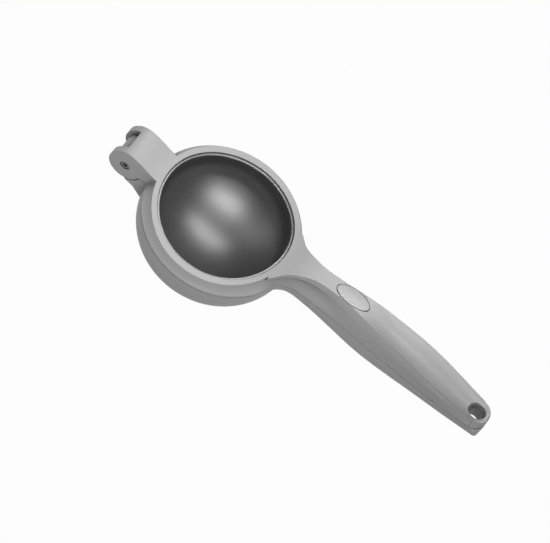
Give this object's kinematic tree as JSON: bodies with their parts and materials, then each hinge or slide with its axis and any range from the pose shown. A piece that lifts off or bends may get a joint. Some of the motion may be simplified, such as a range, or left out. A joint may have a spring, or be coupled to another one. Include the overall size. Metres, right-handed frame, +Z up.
{
  "type": "hinged lemon squeezer",
  "caption": "Hinged citrus squeezer: cast arms on a pin, pressed cup in the upper ring, drained bowl below, leaf-shaped grip.",
  "frame": {"origin": "on the standing plane under the bowl, at the middle of the overall length and width", "axes": "+X from the hinge to the handle end, +Y across, +Z up out of the bowl, with the arms closed"},
  "size_m": [0.24, 0.0878, 0.057],
  "materials": {
    "cast_grey": "satin grey coating on cast aluminium",
    "cup_dark": "dark satin non-stick coating",
    "badge_grey": "fine satin",
    "pin_steel": "turned steel, darkened",
    "bush_plastic": "natural nylon"
  },
  "bodies": {
    "lower": {"lower_arm": "cast_grey", "bush_near": "bush_plastic", "bush_far": "bush_plastic"},
    "upper": {"upper_arm": "cast_grey", "press_cup": "cup_dark", "badge_inlay": "badge_grey", "hinge_post": "pin_steel", "hinge_screw": "pin_steel"}
  },
  "joints": [
    {"name": "squeeze_hinge", "type": "hinge", "parent": "lower", "child": "upper", "pos_m": [-0.1103, 0, 0.04], "axis": [0, -1, 0], "range_deg": [0, 125]}
  ]
}
